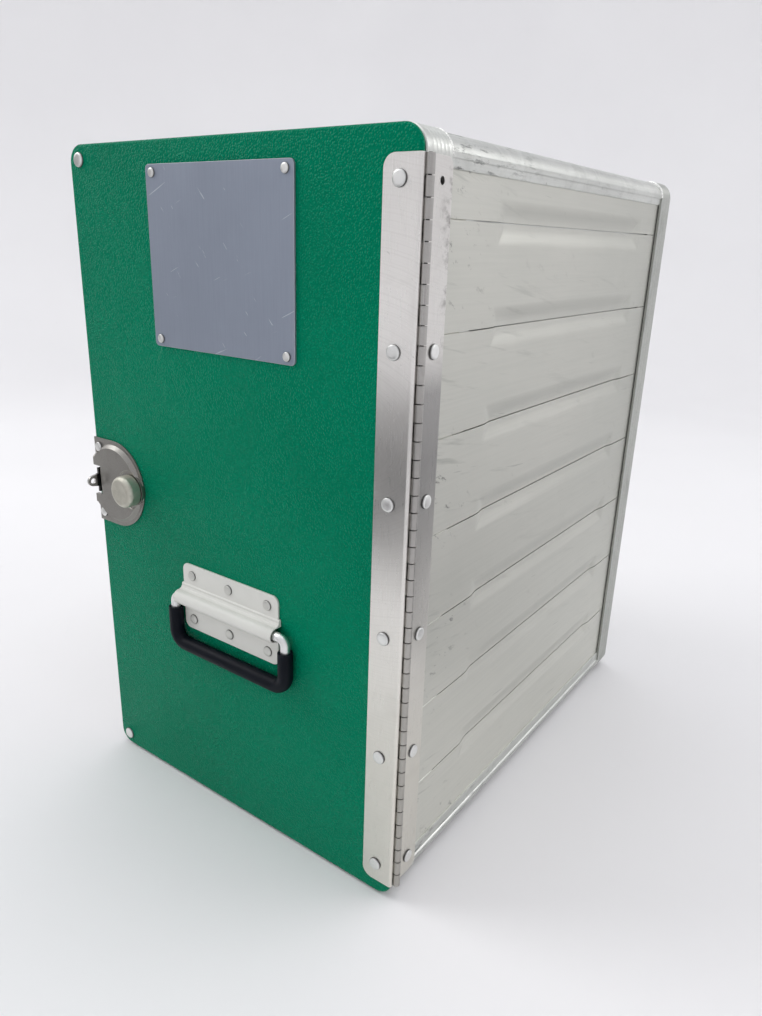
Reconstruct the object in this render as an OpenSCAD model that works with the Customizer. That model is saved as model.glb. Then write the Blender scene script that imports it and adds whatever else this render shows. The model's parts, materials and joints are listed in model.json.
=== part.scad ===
// Airline galley container: aluminium body, hinged door, knob latch and drop handle.
// X runs across the body (+X is the hinge side), the door faces -Y, and Z = 0 is the bottom face.

/* [Body] */
// Outside width of the body and of the door
body_w = 281; // [260:1:310]
// Outside height of the body
body_h = 466; // [460:1:500]
// Depth of the body without the door
body_d = 386; // [360:1:410]
// Radius of the body's long corners
corner_r = 13; // [11:0.5:15]
// Thickness of the side, top, bottom and rear sheets
sheet_t = 1.2; // [1:0.1:1.4]

/* [Frames and rails] */
// Depth of the front frame
front_frame_d = 24; // [22:1:26]
// Depth of the rear frame
rear_frame_d = 23; // [20:1:26]
// Width of a frame's face
frame_face = 12; // [11:0.5:13]
// Wall of the frames
frame_wall = 2; // [1.6:0.1:2.4]
// Wall of the corner rails
rail_t = 1.8; // [1.6:0.1:2]
// How far the rails sit inside the frames' outline
rail_inset = 0.8; // [0.6:0.1:1]

/* [Runners] */
// Number of tray runners on each side
runner_count = 7; // [3:1:7]
// Distance from one runner to the next
runner_pitch = 58.6; // [50:0.1:58.6]
// Depth that the side sheet is pressed in along a runner
press_depth = 2.5; // [1.5:0.1:3]
// How far a runner's ledge reaches into the body
ledge = 10; // [7:0.5:12]

/* [Door] */
// Height of the door panel
door_h = 464; // [458:1:464]
// Thickness of the door panel
door_t = 3.4; // [3.2:0.1:3.6]
// Gap between the door panel and the front frame
door_gap = 0.9; // [0.8:0.1:1]
// Corner radius of the door panel
door_r = 11.5; // [9:0.5:13]
// Depth of the door's inner pan
pan_d = 16; // [12:1:20]

/* [Hinge] */
// Number of hinge knuckles
knuckles = 44; // [40:2:44]
// Length of one knuckle
knuckle_len = 10; // [9.5:0.1:10]
// Outside radius of a knuckle
knuckle_r = 2.4; // [2.2:0.05:2.5]
// Radius of the hinge pin
pin_r = 1; // [0.9:0.05:1.1]
// Thickness of the hinge leaves
leaf_t = 1.2; // [1:0.1:1.2]

/* [Handle] */
// Half the distance between the two legs of the bail
leg_x = 53.5; // [53:0.5:58]
// Radius of the bail rod
rod_r = 3.25; // [3:0.05:3.4]
// Outside radius of the rubber grip
grip_r = 5.2; // [4.8:0.1:5.3]
// Drop from the bail's pivot to the middle of the grip
drop = 36.6; // [34:0.2:42]

/* [Latch] */
// Radius of the latch cover's round side
cover_r = 32.5; // [32:0.5:33]
// Radius of the latch knob
knob_r = 11.7; // [11:0.1:12]
// Travel of the bolt for a quarter turn of the knob
bolt_travel = 5.5; // [5:0.1:5.6]

/* [Hidden] */
$fn = 48;
eps = 1;                                    // overshoot of a cut past the face that it opens

half_w = body_w / 2;
front_y = -body_d / 2;
rear_y = body_d / 2;
frame_back_y = front_y + front_frame_d;     // back edge of the front frame
rear_frame_y = rear_y - rear_frame_d;       // front edge of the rear frame
mouth_w = body_w - 2 * frame_face;
mouth_h = body_h - 2 * frame_face;
mouth_r = 4;
front_wall = 3;                             // thickness of the front frame's face

rail_x = half_w - rail_inset;               // outer side of the rails
rail_top = body_h - rail_inset;
rail_leg_top = 18;                          // height of a top rail's side leg
rail_leg_bottom = 22.5;                     // height of a bottom rail's side leg
rail_leg_in = 22;                           // width of a rail's leg across the body
panel_x = rail_x - rail_t;                  // outer face of the side sheets

door_back_y = front_y - door_gap;
door_y = door_back_y - door_t;              // front face of the door panel
door_z0 = 1.5;
door_mid_z = door_z0 + door_h / 2;
pan_w = mouth_w - 3;
pan_h = mouth_h - 3;

hinge_x = half_w + knuckle_r;
hinge_y = front_y - 0.5;
hinge_z0 = 12;
hinge_h = knuckles * knuckle_len;
knuckle_gap = 0.6;                          // end play between neighbouring knuckles
pin_clear = 0.05;
leaf_clear = 2.8;                           // distance of a cut-back leaf edge from the pin's axis
door_leaf_x = 119;
door_leaf_r = 7;
body_leaf_y = front_y + 22.7;
hinge_rivet_n = 6;
hinge_rivet_z0 = 25.2;
hinge_rivet_pitch = 83.06;
door_rivet_x = 129;
body_rivet_y = front_y + 13.1;

shank_r = 2;
hole_r = shank_r + 0.05;

runner_top_z = 423.5;
runner_y0 = frame_back_y + 21.7;
runner_y1 = rear_frame_y - 2.3;
press_y0 = frame_back_y + 56.7;
press_y1 = rear_frame_y - 37.3;
press_half = 12;                            // half height of a pressing at the sheet's face
press_flat = 6;                             // half height of its flat bottom

card_w = 122;
card_h = 109;
card_z = 397;
card_t = 1.5;
card_rivet_dx = 55;
card_rivet_dz = 49.7;

handle_z = 166.5;                           // height of the bail's pivot
rod_h = 5.7;                                // distance of the rod's axis from the door's face
rod_y = door_y - rod_h;
plate_half = 46;
bracket_x = -1;                             // middle of the bracket
bail_x = 1.5;                               // the bail rests against one end of its side play
plate_t = 1.5;
plate_h = 50.4;
hump_half = 47.4;
hump_r = rod_r + 1.95;
channel_r = rod_r + 0.08;
flare_r = rod_r + 1.15;                     // wider mouth of the channel, for the rod's bends
flare_len = 5.5;
bend_top = 5;
bend_low = 10;
stub_x = 24;                                // inner end of the rod's two stubs
grip_top = 9;                               // distance of the grip's ends below the pivot
handle_rivet_dx = 36.5;
handle_rivet_dz = 17;

latch_z = 235;
latch_x = half_w - 22;                      // distance of the cover's round centre from X = 0
knob_x = -(half_w - 43);
cover_lip = 1.2;
cover_h = 3.8;
dish_h = 3.1;
dish_r = 15;
notch_half = 10;
notch_x = -(half_w - 8);
crank_r = bolt_travel / sqrt(2);
crank_pin_r = 1.5;
bolt_y0 = door_y + 0.3;
bolt_y1 = door_y + 2.9;
bolt_tip = -(half_w - 7.3);
bolt_end = knob_x + 6.4;
bolt_half = 3.8;
bolt_wide = 8;
housing_x0 = -(half_w - 15.5);
housing_x1 = knob_x + 8;
housing_half = 12;
striker_x = -(half_w - 3.7);
striker_t = 2;
striker_half = 9.3;
eye_r = 4;
eye_hole_r = 2;
eye_y = door_y - 8.2;

// Placement of flat outlines ------------------------------------------------------------------

// An outline drawn in X and Z, given thickness from y0 to y1
module along_y(y0, y1) {
    translate([0, y1, 0])
        rotate([90, 0, 0])
            linear_extrude(y1 - y0) children();
}

// An outline drawn in Y and Z, given thickness from x0 to x1
module along_x(x0, x1) {
    translate([x0, 0, 0])
        rotate([90, 0, 90])
            linear_extrude(x1 - x0) children();
}

// An outline drawn in X and Y, given thickness from z0 to z1
module along_z(z0, z1) {
    translate([0, 0, z0])
        linear_extrude(z1 - z0) children();
}

// Rectangle with round corners, centred on X = 0, from z0 upwards
module rounded(w, h, r, z0 = 0) {
    translate([0, z0 + h / 2]) {
        square([w - 2 * r, h], center = true);
        square([w, h - 2 * r], center = true);
        for (sx = [-1, 1], sz = [-1, 1])
            translate([sx * (w / 2 - r), sz * (h / 2 - r)]) circle(r);
    }
}

// Low-domed rivet: its head stands towards -Y from the origin and its shank runs towards +Y
module rivet(head_r, head_h, shank, r = shank_r) {
    dome_r = (head_r * head_r + head_h * head_h) / (2 * head_h);
    rotate([90, 0, 0]) {
        intersection() {
            translate([0, 0, head_h - dome_r]) sphere(dome_r);
            cylinder(r = head_r, h = head_h);
        }
        translate([0, 0, -shank]) cylinder(r = r, h = shank + 0.4);
    }
}

module hole_y(x, z, y0, y1, r = hole_r) {
    translate([x, y1, z]) rotate([90, 0, 0]) cylinder(r = r, h = y1 - y0);
}

// Body ----------------------------------------------------------------------------------------

module body_outline(inset = 0) {
    rounded(body_w - 2 * inset, body_h - 2 * inset, corner_r - inset, inset);
}

module mouth_outline(grow = 0) {
    rounded(mouth_w + 2 * grow, mouth_h + 2 * grow, mouth_r + grow, frame_face - grow);
}

function hinge_rivet_z(i) = hinge_rivet_z0 + i * hinge_rivet_pitch;

// Ring with a channel section that is open at the back
module front_frame() {
    color([0.80, 0.81, 0.79])
    difference() {
        along_y(front_y, frame_back_y) body_outline();
        along_y(front_y - eps, frame_back_y + eps) mouth_outline();
        along_y(front_y + front_wall, frame_back_y + eps)
            difference() {
                body_outline(frame_wall);
                mouth_outline(frame_wall);
            }
        translate([striker_x - striker_t / 2, front_y - eps, latch_z - striker_half])
            cube([striker_t, front_wall + 2 * eps, 2 * striker_half]);
        for (i = [0 : hinge_rivet_n - 1])
            translate([half_w - 2 * frame_wall, body_rivet_y, hinge_rivet_z(i)])
                rotate([0, 90, 0]) cylinder(r = hole_r, h = 4 * frame_wall);
    }
}

// Ring with an angle section, closed towards the rear
module rear_frame() {
    color([0.78, 0.79, 0.77])
    difference() {
        along_y(rear_frame_y, rear_y) body_outline();
        along_y(rear_frame_y - eps, rear_y + eps) mouth_outline();
        along_y(rear_frame_y - eps, rear_y - frame_wall) body_outline(frame_wall);
    }
}

// Section of one corner rail in the +X corner: two legs joined by a round corner
module rail_section(top) {
    leg = top ? rail_leg_top : rail_leg_bottom;
    z0 = top ? rail_top - leg : 0;
    lip_z = top ? z0 : leg;
    lip_dir = top ? 1 : -1;
    groove_z = lip_z + lip_dir * (top ? 9.5 : 12);
    difference() {
        rounded(2 * rail_x, rail_top, corner_r);
        rounded(2 * (rail_x - rail_t), rail_top - 2 * rail_t, corner_r - rail_t, rail_t);
        // keep one corner only
        translate([-rail_x - eps, -eps])
            square([2 * rail_x - rail_leg_in + eps, rail_top + 2 * eps]);
        translate([-rail_x, top ? -eps : leg])
            square([2 * rail_x + eps, rail_top - leg + eps]);
        // lengthwise groove and the bevelled lip
        translate([rail_x, groove_z]) rotate(45) square(1.1, center = true);
        polygon([
            [rail_x + eps, lip_z - lip_dir * eps],
            [rail_x - 1.2, lip_z - lip_dir * eps],
            [rail_x - 1.2, lip_z],
            [rail_x, lip_z + lip_dir * 2.6],
            [rail_x + eps, lip_z + lip_dir * 2.6]
        ]);
    }
}

module rail(top) {
    along_y(frame_back_y, rear_frame_y) rail_section(top);
}

module top_right_rail() { color([0.82, 0.83, 0.81]) rail(true); }
module top_left_rail() { color([0.82, 0.83, 0.81]) mirror([1, 0, 0]) rail(true); }
module bottom_right_rail() { color([0.76, 0.77, 0.75]) rail(false); }
module bottom_left_rail() { color([0.76, 0.77, 0.75]) mirror([1, 0, 0]) rail(false); }

function runner_z(i) = runner_top_z - i * runner_pitch;

// Long shallow pressing with sloped sides and ends, measured inwards from the outer face
module pressing(from, to) {
    intersection() {
        along_y(press_y0, press_y1)
            polygon([
                [panel_x - from, -press_half], [panel_x - from, press_half],
                [panel_x - to + press_depth, press_half], [panel_x - to, press_flat],
                [panel_x - to, -press_flat], [panel_x - to + press_depth, -press_half]
            ]);
        along_z(-press_half, press_half)
            polygon([
                [panel_x - from, press_y0], [panel_x - from, press_y1],
                [panel_x - to + press_depth, press_y1], [panel_x - to, press_y1 - press_half],
                [panel_x - to, press_y0 + press_half], [panel_x - to + press_depth, press_y0]
            ]);
    }
}

module side_panel() {
    z0 = corner_r + 0.5;
    z1 = rail_top - corner_r;
    difference() {
        union() {
            translate([panel_x - sheet_t, frame_back_y - 6, z0])
                cube([sheet_t, rear_frame_y - frame_back_y + 12, z1 - z0]);
            for (i = [0 : runner_count - 1])
                translate([0, 0, runner_z(i)]) pressing(sheet_t / 2, sheet_t + press_depth);
        }
        for (i = [0 : runner_count - 1])
            translate([0, 0, runner_z(i)]) {
                pressing(-eps, press_depth);
                // open slit, and the shallow groove that leads up to it
                translate([panel_x - 10, runner_y0, -0.5])
                    cube([10 + eps, runner_y1 - runner_y0, 1]);
                translate([panel_x - 0.5, frame_back_y - eps, -0.4])
                    cube([0.5 + eps, runner_y0 - frame_back_y + 2 * eps, 0.8]);
            }
    }
}

module right_side_panel() { color([0.74, 0.76, 0.72]) side_panel(); }
module left_side_panel() { color([0.74, 0.76, 0.72]) mirror([1, 0, 0]) side_panel(); }

// Ledges that carry the trays; each rests on its pressing and on a lug at each end
module runners() {
    root_x = panel_x - sheet_t - press_depth;
    lug_len = 12;
    for (i = [0 : runner_count - 1])
        translate([0, 0, runner_z(i) - 1]) {
            translate([root_x - ledge, runner_y0, 0])
                cube([ledge, runner_y1 - runner_y0, 2]);
            for (y = [runner_y0, runner_y1 - lug_len])
                translate([root_x - eps, y, 0])
                    cube([press_depth + eps, lug_len, 2]);
        }
}

module right_runners() { color([0.80, 0.81, 0.80]) runners(); }
module left_runners() { color([0.80, 0.81, 0.80]) mirror([1, 0, 0]) runners(); }

module top_panel() {
    color([0.79, 0.80, 0.78])
    translate([-(rail_x - corner_r), frame_back_y - 6, rail_top - rail_t - sheet_t])
        cube([2 * (rail_x - corner_r), rear_frame_y - frame_back_y + 12, sheet_t]);
}

// The bottom sheet lies flush between the bottom rails and the frames
module bottom_panel() {
    inner_x = rail_x - rail_leg_in;
    color([0.74, 0.75, 0.74])
    translate([-inner_x, frame_back_y, 0])
        cube([2 * inner_x, rear_frame_y - frame_back_y, sheet_t]);
}

module rear_panel() {
    color([0.76, 0.77, 0.75])
    along_y(rear_y - frame_wall - sheet_t, rear_y - frame_wall) mouth_outline(5);
}

// Weld seams where the rails meet the two frames, one arc in each corner
module weld_beads() {
    bead_r = 1.6;
    proud = 0.4;
    arc_r = corner_r - bead_r + proud;
    cx = half_w - corner_r;
    color([0.88, 0.88, 0.87])
    for (y = [frame_back_y, rear_frame_y], corner = [0 : 3])
        translate([
            (corner == 0 || corner == 3) ? cx : -cx,
            y,
            corner < 2 ? body_h - corner_r : corner_r + proud
        ])
            rotate([90, 0, 0])
                rotate([0, 0, 90 * corner])
                    rotate_extrude(angle = 90)
                        translate([arc_r, 0]) circle(bead_r, $fn = 24);
}

// Tongue with a slot for the bolt and an eye for a seal
module striker() {
    plate_y = door_y - 3.2;
    color([0.62, 0.61, 0.58])
    along_x(striker_x - striker_t / 2, striker_x + striker_t / 2)
        difference() {
            translate([0, latch_z]) {
                translate([plate_y, -striker_half])
                    square([front_y + 9 - plate_y, 2 * striker_half]);
                translate([eye_y, 0]) circle(eye_r);
                polygon([
                    [plate_y + eps, -eye_r - 1.2], [plate_y + eps, eye_r + 1.2],
                    [eye_y, eye_r], [eye_y, -eye_r]
                ]);
            }
            translate([eye_y, latch_z]) circle(eye_hole_r);
            translate([bolt_y0 - 0.4, latch_z - bolt_half - 0.4])
                square([bolt_y1 - bolt_y0 + 0.8, 2 * bolt_half + 0.8]);
        }
}

// Hinge ---------------------------------------------------------------------------------------

// Odd knuckles belong to the door, even ones to the body
module knuckle_column(first) {
    for (k = [first : 2 : knuckles - 1])
        along_z(
            hinge_z0 + k * knuckle_len + knuckle_gap / 2,
            hinge_z0 + (k + 1) * knuckle_len - knuckle_gap / 2
        )
            difference() {
                union() {
                    translate([hinge_x, hinge_y]) circle(knuckle_r);
                    children();
                }
                translate([hinge_x, hinge_y]) circle(pin_r + pin_clear);
            }
}

module hinge_body_leaf() {
    leaf_y0 = hinge_y + leaf_clear;
    r = 5;
    color([0.72, 0.71, 0.68]) {
        difference() {
            union() {
                along_x(half_w, half_w + leaf_t)
                    union() {
                        translate([leaf_y0, hinge_z0])
                            square([body_leaf_y - r - leaf_y0, hinge_h]);
                        translate([leaf_y0, hinge_z0 + r])
                            square([body_leaf_y - leaf_y0, hinge_h - 2 * r]);
                        for (z = [hinge_z0 + r, hinge_z0 + hinge_h - r])
                            translate([body_leaf_y - r, z]) circle(r);
                    }
                knuckle_column(0)
                    translate([half_w, hinge_y]) square([leaf_t, leaf_clear + 1]);
            }
            for (i = [0 : hinge_rivet_n - 1])
                translate([half_w - eps, body_rivet_y, hinge_rivet_z(i)])
                    rotate([0, 90, 0]) cylinder(r = hole_r, h = leaf_t + 2 * eps);
        }
    }
}

// The leaf lies on the door's face and wraps round its edge to the knuckles
module hinge_door_leaf() {
    bend_r = 1.8;
    edge_y = hinge_y - leaf_clear;
    color([0.76, 0.75, 0.72])
    difference() {
        union() {
            along_y(door_y - leaf_t, door_y)
                intersection() {
                    translate([door_leaf_x, hinge_z0])
                        square([half_w - leaf_t - door_leaf_x, hinge_h]);
                    union() {
                        translate([door_leaf_x + door_leaf_r, hinge_z0])
                            square([40, hinge_h]);
                        translate([door_leaf_x, hinge_z0 + door_leaf_r])
                            square([40, hinge_h - 2 * door_leaf_r]);
                        for (z = [hinge_z0 + door_leaf_r, hinge_z0 + hinge_h - door_leaf_r])
                            translate([door_leaf_x + door_leaf_r, z]) circle(door_leaf_r);
                    }
                }
            along_z(hinge_z0, hinge_z0 + hinge_h)
                difference() {
                    union() {
                        translate([half_w - leaf_t - 0.5, door_y - leaf_t])
                            square([leaf_t + 0.5 + leaf_t - bend_r, leaf_t]);
                        translate([half_w + leaf_t - bend_r, door_y - leaf_t + bend_r])
                            circle(bend_r);
                        translate([half_w, door_y - leaf_t + bend_r])
                            square([leaf_t, edge_y - door_y + leaf_t - bend_r]);
                    }
                    translate([0, door_y]) square([half_w, 20]);
                }
            knuckle_column(1)
                translate([half_w, edge_y - 0.5]) square([leaf_t, leaf_clear + 0.5]);
        }
        for (i = [0 : hinge_rivet_n - 1])
            hole_y(door_rivet_x, hinge_rivet_z(i), door_y - leaf_t - eps, door_y + eps);
    }
}

module hinge_pin() {
    color([0.6, 0.6, 0.58])
    translate([hinge_x, hinge_y, hinge_z0]) cylinder(r = pin_r, h = hinge_h);
}

// The topmost hole of the body leaf stays empty
module hinge_body_rivets() {
    color([0.85, 0.85, 0.84])
    for (i = [0 : hinge_rivet_n - 2])
        translate([half_w + leaf_t, body_rivet_y, hinge_rivet_z(i)])
            rotate([0, 0, 90]) rivet(4.3, 1.5, leaf_t + frame_wall + 2);
}

module hinge_door_rivets() {
    color([0.88, 0.88, 0.88])
    for (i = [0 : hinge_rivet_n - 1])
        translate([door_rivet_x, door_y - leaf_t, hinge_rivet_z(i)])
            rivet(4.3, 1.5, leaf_t + door_t);
}

// Door ----------------------------------------------------------------------------------------

corner_rivets = [
    [-(half_w - 10.5), door_z0 + 9.5],
    [-(half_w - 10.5), door_z0 + door_h - 9.5]
];
card_rivets = [for (sx = [-1, 1], sz = [-1, 1]) [sx * card_rivet_dx, card_z + sz * card_rivet_dz]];
handle_rivets_at = [
    for (i = [-1 : 1], sz = [-1, 1]) [bracket_x + i * handle_rivet_dx, handle_z + sz * handle_rivet_dz]
];
latch_rivets_at = [for (sz = [-1, 1]) [-(half_w - 5.5), latch_z + sz * 25.5]];

// Opening at the free edge for the striker, and the way of the bolt
module latch_cutout(clear) {
    translate([-half_w - eps, latch_z - notch_half])
        square([notch_x + half_w + eps, 2 * notch_half]);
    translate([notch_x - eps, latch_z - bolt_half - 0.6])
        square([housing_x0 - notch_x + 2 * eps, 2 * bolt_half + 1.2]);
    translate([housing_x0 - clear, latch_z - housing_half - clear])
        square([housing_x1 - housing_x0 + 2 * clear, 2 * (housing_half + clear)]);
}

module door_panel() {
    color([0.0, 0.47, 0.35])
    difference() {
        along_y(door_y, door_back_y) rounded(body_w, door_h, door_r, door_z0);
        along_y(door_y - eps, door_back_y + eps) latch_cutout(0.3);
        for (p = corner_rivets) hole_y(p.x, p.y, door_y - eps, door_back_y + eps);
        for (p = card_rivets) hole_y(p.x, p.y, door_y - eps, door_back_y + eps);
        for (p = handle_rivets_at) hole_y(p.x, p.y, door_y - eps, door_back_y + eps);
        for (p = latch_rivets_at) hole_y(p.x, p.y, door_y - eps, door_back_y + eps);
        for (i = [0 : hinge_rivet_n - 1])
            hole_y(door_rivet_x, hinge_rivet_z(i), door_y - eps, door_back_y + eps);
    }
}

// Shallow tray behind the door panel, with a lip that is bonded to the panel
module door_inner_pan() {
    z0 = frame_face + 1.5;
    lip = 10;
    r = mouth_r - 1;
    color([0.72, 0.73, 0.72])
    difference() {
        along_y(door_back_y, door_back_y + pan_d) rounded(pan_w, pan_h, r, z0);
        along_y(door_back_y - eps, door_back_y + sheet_t + eps)
            rounded(pan_w - 2 * lip, pan_h - 2 * lip, r, z0 + lip);
        along_y(door_back_y + sheet_t, door_back_y + pan_d - sheet_t)
            rounded(pan_w - 2 * sheet_t, pan_h - 2 * sheet_t, r - sheet_t, z0 + sheet_t);
        // room for the latch housing at the lip
        translate([housing_x0 - 0.3, door_back_y - eps, latch_z - housing_half - 0.3])
            cube([lip + 5, eps + sheet_t + 0.5, 2 * housing_half + 0.6]);
    }
}

module door_gasket() {
    inset = 1.5;
    width = 8;
    color([0.08, 0.08, 0.08])
    along_y(door_back_y, door_back_y + 0.6)
        difference() {
            rounded(body_w - 2 * inset, door_h - 2 * inset, door_r - inset, door_z0 + inset);
            rounded(
                body_w - 2 * (inset + width), door_h - 2 * (inset + width), 2,
                door_z0 + inset + width
            );
            translate([-half_w - eps, latch_z - notch_half])
                square([notch_x + half_w + eps, 2 * notch_half]);
        }
}

module card_plate() {
    color([0.45, 0.48, 0.54])
    difference() {
        along_y(door_y - card_t, door_y) rounded(card_w, card_h, 3, card_z - card_h / 2);
        for (p = card_rivets) hole_y(p.x, p.y, door_y - card_t - eps, door_y + eps);
    }
}

module card_plate_rivets() {
    color([0.85, 0.85, 0.85])
    for (p = card_rivets)
        translate([p.x, door_y - card_t, p.y]) rivet(2.9, 1.3, card_t + door_t);
}

module door_corner_rivets() {
    color([0.82, 0.83, 0.82])
    for (p = corner_rivets)
        translate([p.x, door_y, p.y]) rivet(4.7, 1.6, door_t);
}

// Handle --------------------------------------------------------------------------------------

// Section of the bracket's hump, in distance from the door's face and height over the pivot
function hump_points() = concat(
    [[0, 9.5], [plate_t, 9.5], [2.2, 8.8], [2.2, 7.4], [3.1, 6]],
    [for (a = [100 : -10 : -50]) [rod_h + hump_r * cos(a), hump_r * sin(a)]],
    [[rod_h - 1.6, -hump_r - 0.3], [plate_t + 0.4, -6.3], [plate_t, -7.4], [0, -7.4]]
);

module handle_bracket() {
    color([0.82, 0.82, 0.80])
    translate([bracket_x, 0, 0])
        difference() {
            union() {
                along_y(door_y - plate_t, door_y)
                    rounded(2 * plate_half, plate_h, 5, handle_z - plate_h / 2);
                along_x(-hump_half, hump_half)
                    polygon([for (p = hump_points()) [door_y - p[0], handle_z + p[1]]]);
            }
            // channel that the bail's stubs turn in, with a wider mouth at each end
            along_x(-hump_half - eps, hump_half + eps) {
                translate([rod_y, handle_z]) circle(channel_r);
                translate([rod_y, handle_z - channel_r]) square([rod_h + eps, 2 * channel_r]);
            }
            for (x = [-hump_half - eps, hump_half - flare_len])
                along_x(x, x + flare_len + eps) {
                    translate([rod_y, handle_z]) circle(flare_r);
                    translate([rod_y, handle_z - flare_r]) square([rod_h + eps, 2 * flare_r]);
                }
            for (p = handle_rivets_at)
                hole_y(p.x - bracket_x, p.y, door_y - plate_t - eps, door_y + eps);
        }
}

module handle_rivets() {
    color([0.86, 0.86, 0.85])
    for (p = handle_rivets_at)
        translate([p.x, door_y - plate_t, p.y]) rivet(3.6, 1.3, plate_t + door_t + 1.5);
}

// Doubler inside the door that the handle's rivets hold on
module handle_backing_plate() {
    color([0.75, 0.75, 0.75])
    difference() {
        along_y(door_back_y, door_back_y + 1.5)
            translate([bracket_x, 0])
                rounded(2 * plate_half, plate_h, 4, handle_z - plate_h / 2);
        for (p = handle_rivets_at) hole_y(p.x, p.y, door_back_y - eps, door_back_y + 3);
    }
}

// Quarter of a torus between two straight runs; its centre is at the origin
module elbow(bend, r, start) {
    rotate([90, 0, 0])
        rotate([0, 0, start])
            rotate_extrude(angle = 90)
                translate([bend, 0]) circle(r);
}

module bail_leg(r, top) {
    low_z = handle_z - drop;
    translate([leg_x, rod_y, low_z + bend_low]) cylinder(r = r, h = top - low_z - bend_low);
    translate([leg_x - bend_low, rod_y, low_z + bend_low]) elbow(bend_low, r, 270);
}

module bail_bar(r) {
    translate([-(leg_x - bend_low), rod_y, handle_z - drop])
        rotate([0, 90, 0]) cylinder(r = r, h = 2 * (leg_x - bend_low));
}

module handle_rod() {
    color([0.80, 0.80, 0.80])
    translate([bail_x, 0, 0]) {
        bail_bar(rod_r);
        for (side = [0, 1])
            mirror([side, 0, 0]) {
                bail_leg(rod_r, handle_z - bend_top);
                translate([leg_x - bend_top, rod_y, handle_z - bend_top])
                    elbow(bend_top, rod_r, 0);
                translate([stub_x, rod_y, handle_z])
                    rotate([0, 90, 0]) cylinder(r = rod_r, h = leg_x - bend_top - stub_x);
            }
    }
}

module handle_grip() {
    color([0.07, 0.08, 0.10])
    translate([bail_x, 0, 0])
    difference() {
        union() {
            bail_bar(grip_r);
            for (side = [0, 1])
                mirror([side, 0, 0]) bail_leg(grip_r, handle_z - grip_top);
        }
        bail_bar(rod_r + 0.05);
        for (side = [0, 1])
            mirror([side, 0, 0]) bail_leg(rod_r + 0.05, handle_z);
    }
}

// Latch ---------------------------------------------------------------------------------------

// The latch pieces are built flat: X and Y lie in the door's face and Z stands out of it
module on_door() {
    translate([0, door_y, latch_z]) rotate([90, 0, 0]) children();
}

module cover_base(height, shrink) {
    slope = 3.4;
    translate([-latch_x, 0, 0])
        cylinder(r1 = cover_r - 2 - shrink, r2 = cover_r - 2 - slope - shrink, h = height);
    half = 21 - shrink;
    translate([-half_w, 0, 0])
        rotate([90, 0, 90])
            linear_extrude(half_w - latch_x)
                polygon([
                    [-half, 0], [half, 0], [half - slope, height], [-(half - slope), height]
                ]);
}

module latch_cover() {
    color([0.52, 0.51, 0.48])
    on_door()
        difference() {
            union() {
                // flat lip with one straight side and one round side
                linear_extrude(cover_lip) {
                    translate([-latch_x, 0]) circle(cover_r);
                    translate([-half_w, -cover_r]) square([half_w - latch_x, 2 * cover_r]);
                }
                cover_base(cover_h, 0);
                translate([knob_x, 0, 0]) cylinder(r = knob_r + 0.3, h = dish_h);
            }
            // the round side ends at the door's edge
            translate([-half_w - 40, -50, -eps]) cube([40, 100, 20]);
            // dish round the knob
            translate([knob_x, 0, dish_h]) cylinder(r1 = dish_r - 1, r2 = dish_r + 1, h = 2);
            // hollow inside
            difference() {
                translate([0, 0, -0.01]) cover_base(cover_h - 1.4, 8);
                translate([knob_x, 0, dish_h - 1.3]) cylinder(r = dish_r + 2, h = 5);
            }
            translate([knob_x, 0, -eps]) cylinder(r = crank_r + crank_pin_r + 1.9, h = eps + 1.9);
            translate([knob_x, 0, -eps]) cylinder(r = 3.05, h = 10);
            // notch for the striker
            translate([-half_w - eps, -11.3, -eps]) cube([8 + eps, 22.6, 20]);
            // holes for the rivets, and room for their heads
            for (p = latch_rivets_at)
                translate([p.x, p.y - latch_z, 0]) {
                    translate([0, 0, -eps]) cylinder(r = hole_r, h = 20);
                    translate([0, 0, cover_lip]) cylinder(r = 4.1, h = 20);
                }
        }
}

module latch_rivets() {
    color([0.85, 0.85, 0.83])
    for (p = latch_rivets_at)
        translate([p.x, door_y - cover_lip, p.y]) rivet(3.7, 1.5, cover_lip + door_t);
}

// Open steel box let into the door, with a way out for the bolt
module latch_housing() {
    wall = 1;
    back_y = door_back_y + 2;
    color([0.6, 0.6, 0.6])
    difference() {
        translate([housing_x0, door_y, latch_z - housing_half])
            cube([housing_x1 - housing_x0, back_y - door_y, 2 * housing_half]);
        translate([housing_x0 + wall, door_y - eps, latch_z - housing_half + wall])
            cube([
                housing_x1 - housing_x0 - 2 * wall,
                back_y - door_y - wall + eps,
                2 * (housing_half - wall)
            ]);
        translate([housing_x0 - eps, door_y - eps, latch_z - bolt_half - 0.6])
            cube([wall + 2 * eps, door_t + eps, 2 * bolt_half + 1.2]);
    }
}

// Round knob with a rounded rim and a shallow dished face
module latch_knob() {
    foot_h = dish_h + 0.4;
    top_h = 13.6;
    rim_r = 4;
    color([0.66, 0.65, 0.60])
    on_door()
        translate([knob_x, 0, 0])
            difference() {
                rotate_extrude()
                    union() {
                        polygon([
                            [0, foot_h], [knob_r - 0.6, foot_h], [knob_r, foot_h + 0.6],
                            [knob_r, top_h - rim_r], [knob_r - rim_r, top_h], [0, top_h]
                        ]);
                        intersection() {
                            translate([knob_r - rim_r, top_h - rim_r]) circle(rim_r);
                            square([knob_r, top_h]);
                        }
                    }
                translate([0, 0, top_h + 59.6]) sphere(60);
                translate([0, 0, foot_h - eps]) cylinder(r = 3, h = eps + 3);
            }
}

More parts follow.
